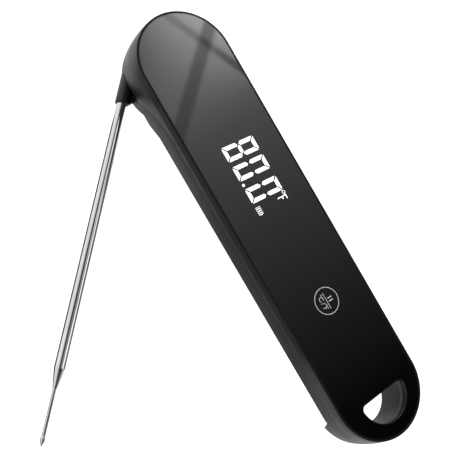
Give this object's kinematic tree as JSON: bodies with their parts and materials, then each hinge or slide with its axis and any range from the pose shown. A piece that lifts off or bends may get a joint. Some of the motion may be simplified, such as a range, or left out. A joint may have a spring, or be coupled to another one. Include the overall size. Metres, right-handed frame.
{
  "type": "meat thermometer",
  "caption": "Folding instant-read meat thermometer: long flat body with a glossy full-face panel, D-shaped hanging hole and a thin steel probe that swings out from the head.",
  "frame": {"origin": "middle of the body's outline on the flat back plane", "axes": "+Z out of the front panel, +Y towards the hinge end, +X to the top of the figures; the body lies on its back and the probe is half open, to the left"},
  "size_m": [0.1245, 0.1714, 0.019],
  "materials": {
    "gloss_panel": "polished black window",
    "tape": "foam tape",
    "lit_white": "lit white figures",
    "printed_white": "printed white",
    "case": "satin dark grey, fine spark-eroded grain",
    "arm_black": "satin black",
    "seal": "silicone rubber",
    "board": "solder mask",
    "chip": "moulded epoxy",
    "module": "white reflector block",
    "plated_spring": "nickel-plated spring steel",
    "cell_wrap": "printed cell sleeve, no text",
    "magnet": "nickel-plated magnet",
    "screw_steel": "zinc-plated steel",
    "probe_steel": "bright drawn stainless steel",
    "bead": "thermistor bead",
    "wire": "enamelled wire"
  },
  "bodies": {
    "body": {"front_panel": "gloss_panel", "panel_tape": "tape", "display_digits": "lit_white", "unit_marks": "lit_white", "touch_key_mark": "printed_white", "front_shell": "case", "rear_shell": "case", "shell_gasket": "seal", "circuit_board": "board", "board_components": "chip", "display_module": "module", "touch_spring": "plated_spring", "wake_switch": "chip", "battery": "cell_wrap", "battery_contact_positive": "plated_spring", "battery_contact_negative": "plated_spring", "battery_door_seal": "seal", "back_magnets": "magnet", "shell_screws": "screw_steel", "hinge_washer": "screw_steel", "friction_spring": "plated_spring", "hinge_screw": "screw_steel", "hinge_cap": "arm_black", "hub_seal": "seal"},
    "probe": {"hub_drum": "case", "hub_back_plate": "arm_black", "hub_screws": "screw_steel", "wake_magnet": "magnet", "probe_arm": "arm_black", "probe_tube": "probe_steel", "probe_tip": "probe_steel", "temperature_sensor": "bead", "probe_wires": "wire"},
    "battery_door": {"battery_door": "case"}
  },
  "joints": [
    {"name": "probe_hinge", "type": "hinge", "parent": "body", "child": "probe", "pos_m": [0, 0.0665, 0.0026], "axis": [0, 0, 1], "range_deg": [-136.8, 43.2]},
    {"name": "battery_door_slide", "type": "slide", "parent": "body", "child": "battery_door", "axis": [0, -1, 0], "range_m": [0, 0.014]}
  ]
}
